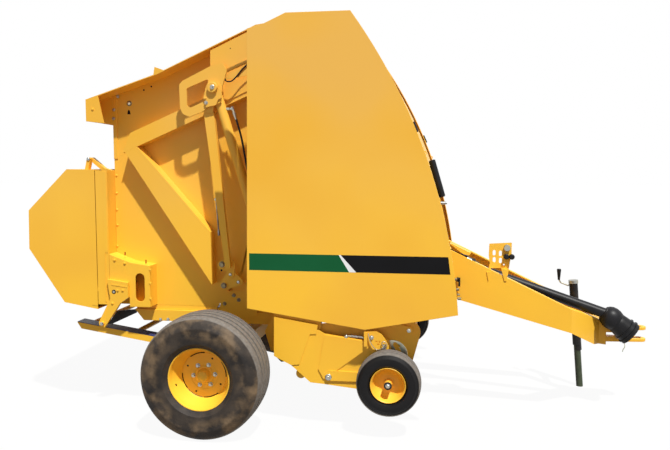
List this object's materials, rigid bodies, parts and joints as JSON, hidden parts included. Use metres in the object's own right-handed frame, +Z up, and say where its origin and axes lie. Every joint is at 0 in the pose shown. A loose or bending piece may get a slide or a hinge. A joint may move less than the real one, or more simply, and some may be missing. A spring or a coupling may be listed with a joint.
{
  "type": "round baler",
  "caption": "Trailed round baler with belt chamber, hinged tailgate with net wrap box, side shields, tined pickup, drawbar with jack and driveline.",
  "frame": {"origin": "on the ground under the middle of the machine's box", "axes": "+X forward to the hitch, +Y to the machine's left, +Z up"},
  "size_m": [4.29, 2.4, 2.634],
  "materials": {
    "yellow_paint": "satin",
    "tyre_rubber": "matt",
    "belt_rubber": "matt",
    "roller_steel": "worn",
    "zinc": "zinc plated",
    "black_plastic": "moulded",
    "green_paint": "satin"
  },
  "bodies": {
    "root": {"axle_beam": "yellow_paint", "lower_rails": "yellow_paint", "side_sheets": "yellow_paint", "cross_members": "yellow_paint", "frame_rollers": "roller_steel", "front_belts": "belt_rubber", "front_hood": "yellow_paint", "canister": "black_plastic", "drawbar_beams": "yellow_paint", "hose_bracket": "yellow_paint", "hitch_plates": "yellow_paint", "gearbox": "yellow_paint", "driveline": "black_plastic", "drive_shafts": "roller_steel", "drive_chain": "roller_steel", "ram_lugs": "yellow_paint", "feeder_sides": "yellow_paint"},
    "tailgate": {"gate_sheets": "yellow_paint", "gate_beams": "yellow_paint", "hinge_arms": "yellow_paint", "gate_braces": "yellow_paint", "gate_levers": "yellow_paint", "latch_links": "yellow_paint", "latch_hooks": "yellow_paint", "gate_roof": "yellow_paint", "gate_rollers": "roller_steel", "gate_belts": "belt_rubber", "net_frame": "yellow_paint", "corner_brackets": "yellow_paint", "gate_arms": "yellow_paint"},
    "net_cover": {"net_cover": "yellow_paint"},
    "ram_barrel_right": {"ram_barrel_right": "yellow_paint"},
    "ram_barrel_left": {"ram_barrel_left": "yellow_paint"},
    "ram_rod_right": {"ram_rod_right": "zinc"},
    "ram_rod_left": {"ram_rod_left": "zinc"},
    "bale_ramp": {"bale_ramp": "yellow_paint"},
    "pickup": {"pickup_sides": "yellow_paint", "reel_covers": "zinc", "windguard": "yellow_paint", "stripper_bands": "yellow_paint"},
    "pickup_reel": {"pickup_reel": "roller_steel"},
    "gauge_wheel_right": {"gauge_tyre_right": "tyre_rubber", "gauge_rim_right": "yellow_paint"},
    "gauge_wheel_left": {"gauge_tyre_left": "tyre_rubber", "gauge_rim_left": "yellow_paint"},
    "wheel_right": {"tyre_right": "tyre_rubber", "rim_right": "yellow_paint"},
    "wheel_left": {"tyre_left": "tyre_rubber", "rim_left": "yellow_paint"},
    "shield_right": {"shield_right": "yellow_paint"},
    "shield_left": {"shield_left": "yellow_paint"},
    "jack_tube": {"jack_tube": "roller_steel", "jack_crank": "roller_steel"},
    "jack_leg": {"jack_leg": "green_paint"}
  },
  "joints": [
    {"name": "tailgate_hinge", "type": "hinge", "parent": "root", "child": "tailgate", "pos_m": [-0.288, 0, 2.5], "axis": [0, 1, 0], "range_deg": [0, 60]},
    {"name": "net_cover_hinge", "type": "hinge", "parent": "tailgate", "child": "net_cover", "pos_m": [-1.698, 0, 1.752], "axis": [0, 1, 0], "range_deg": [0, 75]},
    {"name": "bale_ramp_hinge", "type": "hinge", "parent": "root", "child": "bale_ramp", "pos_m": [-0.853, 0, 0.424], "axis": [0, 1, 0], "range_deg": [-24, 0], "stiffness_Nm_per_rad": 150, "springref_deg": 171.89},
    {"name": "pickup_lift", "type": "hinge", "parent": "root", "child": "pickup", "pos_m": [-0.238, 0, 0.56], "axis": [0, 1, 0], "range_deg": [0, 13]},
    {"name": "reel_spin", "type": "hinge", "parent": "pickup", "child": "pickup_reel", "pos_m": [0.352, 0, 0.52], "axis": [0, 1, 0], "continuous": true},
    {"name": "ram_barrel_right_pivot", "type": "hinge", "parent": "tailgate", "child": "ram_barrel_right", "pos_m": [-0.765, -0.745, 2.209], "axis": [0, 1, 0], "range_deg": [-60, 0]},
    {"name": "ram_rod_right_slide", "type": "slide", "parent": "ram_barrel_right", "child": "ram_rod_right", "axis": [0.2901, 0, -0.957], "range_m": [0, 0.5589]},
    {"name": "wheel_right_spin", "type": "hinge", "parent": "root", "child": "wheel_right", "pos_m": [-0.758, 0, 0.394], "axis": [0, 1, 0], "continuous": true},
    {"name": "gauge_wheel_right_spin", "type": "hinge", "parent": "pickup", "child": "gauge_wheel_right", "pos_m": [0.392, 0, 0.355], "axis": [0, 1, 0], "continuous": true},
    {"name": "shield_right_hinge", "type": "hinge", "parent": "root", "child": "shield_right", "pos_m": [-0.758, -0.937, 2.619], "axis": [-1, 0, 0], "range_deg": [0, 70]},
    {"name": "ram_barrel_left_pivot", "type": "hinge", "parent": "tailgate", "child": "ram_barrel_left", "pos_m": [-0.765, 0.745, 2.209], "axis": [0, 1, 0], "range_deg": [-60, 0]},
    {"name": "ram_rod_left_slide", "type": "slide", "parent": "ram_barrel_left", "child": "ram_rod_left", "axis": [0.2901, 0, -0.957], "range_m": [0, 0.5589]},
    {"name": "wheel_left_spin", "type": "hinge", "parent": "root", "child": "wheel_left", "pos_m": [-0.758, 0, 0.394], "axis": [0, 1, 0], "continuous": true},
    {"name": "gauge_wheel_left_spin", "type": "hinge", "parent": "pickup", "child": "gauge_wheel_left", "pos_m": [0.392, 0, 0.355], "axis": [0, 1, 0], "continuous": true},
    {"name": "shield_left_hinge", "type": "hinge", "parent": "root", "child": "shield_left", "pos_m": [-0.758, 0.937, 2.619], "axis": [1, 0, 0], "range_deg": [0, 70]},
    {"name": "jack_swivel", "type": "hinge", "parent": "root", "child": "jack_tube", "pos_m": [1.72523, 0.372, 0.60173], "axis": [0, 1, 0], "range_deg": [0, 90]},
    {"name": "jack_leg_slide", "type": "slide", "parent": "jack_tube", "child": "jack_leg", "axis": [-0.0841, 0, 0.9965], "range_m": [0, 0.33]}
  ],
  "couplings": [
    {"joint": "ram_barrel_right_pivot", "follows": "tailgate_hinge", "ratio": -0.94},
    {"joint": "ram_rod_right_slide", "follows": "tailgate_hinge", "m_per_rad": 0.52326},
    {"joint": "ram_barrel_left_pivot", "follows": "tailgate_hinge", "ratio": -0.94},
    {"joint": "ram_rod_left_slide", "follows": "tailgate_hinge", "m_per_rad": 0.52326}
  ]
}
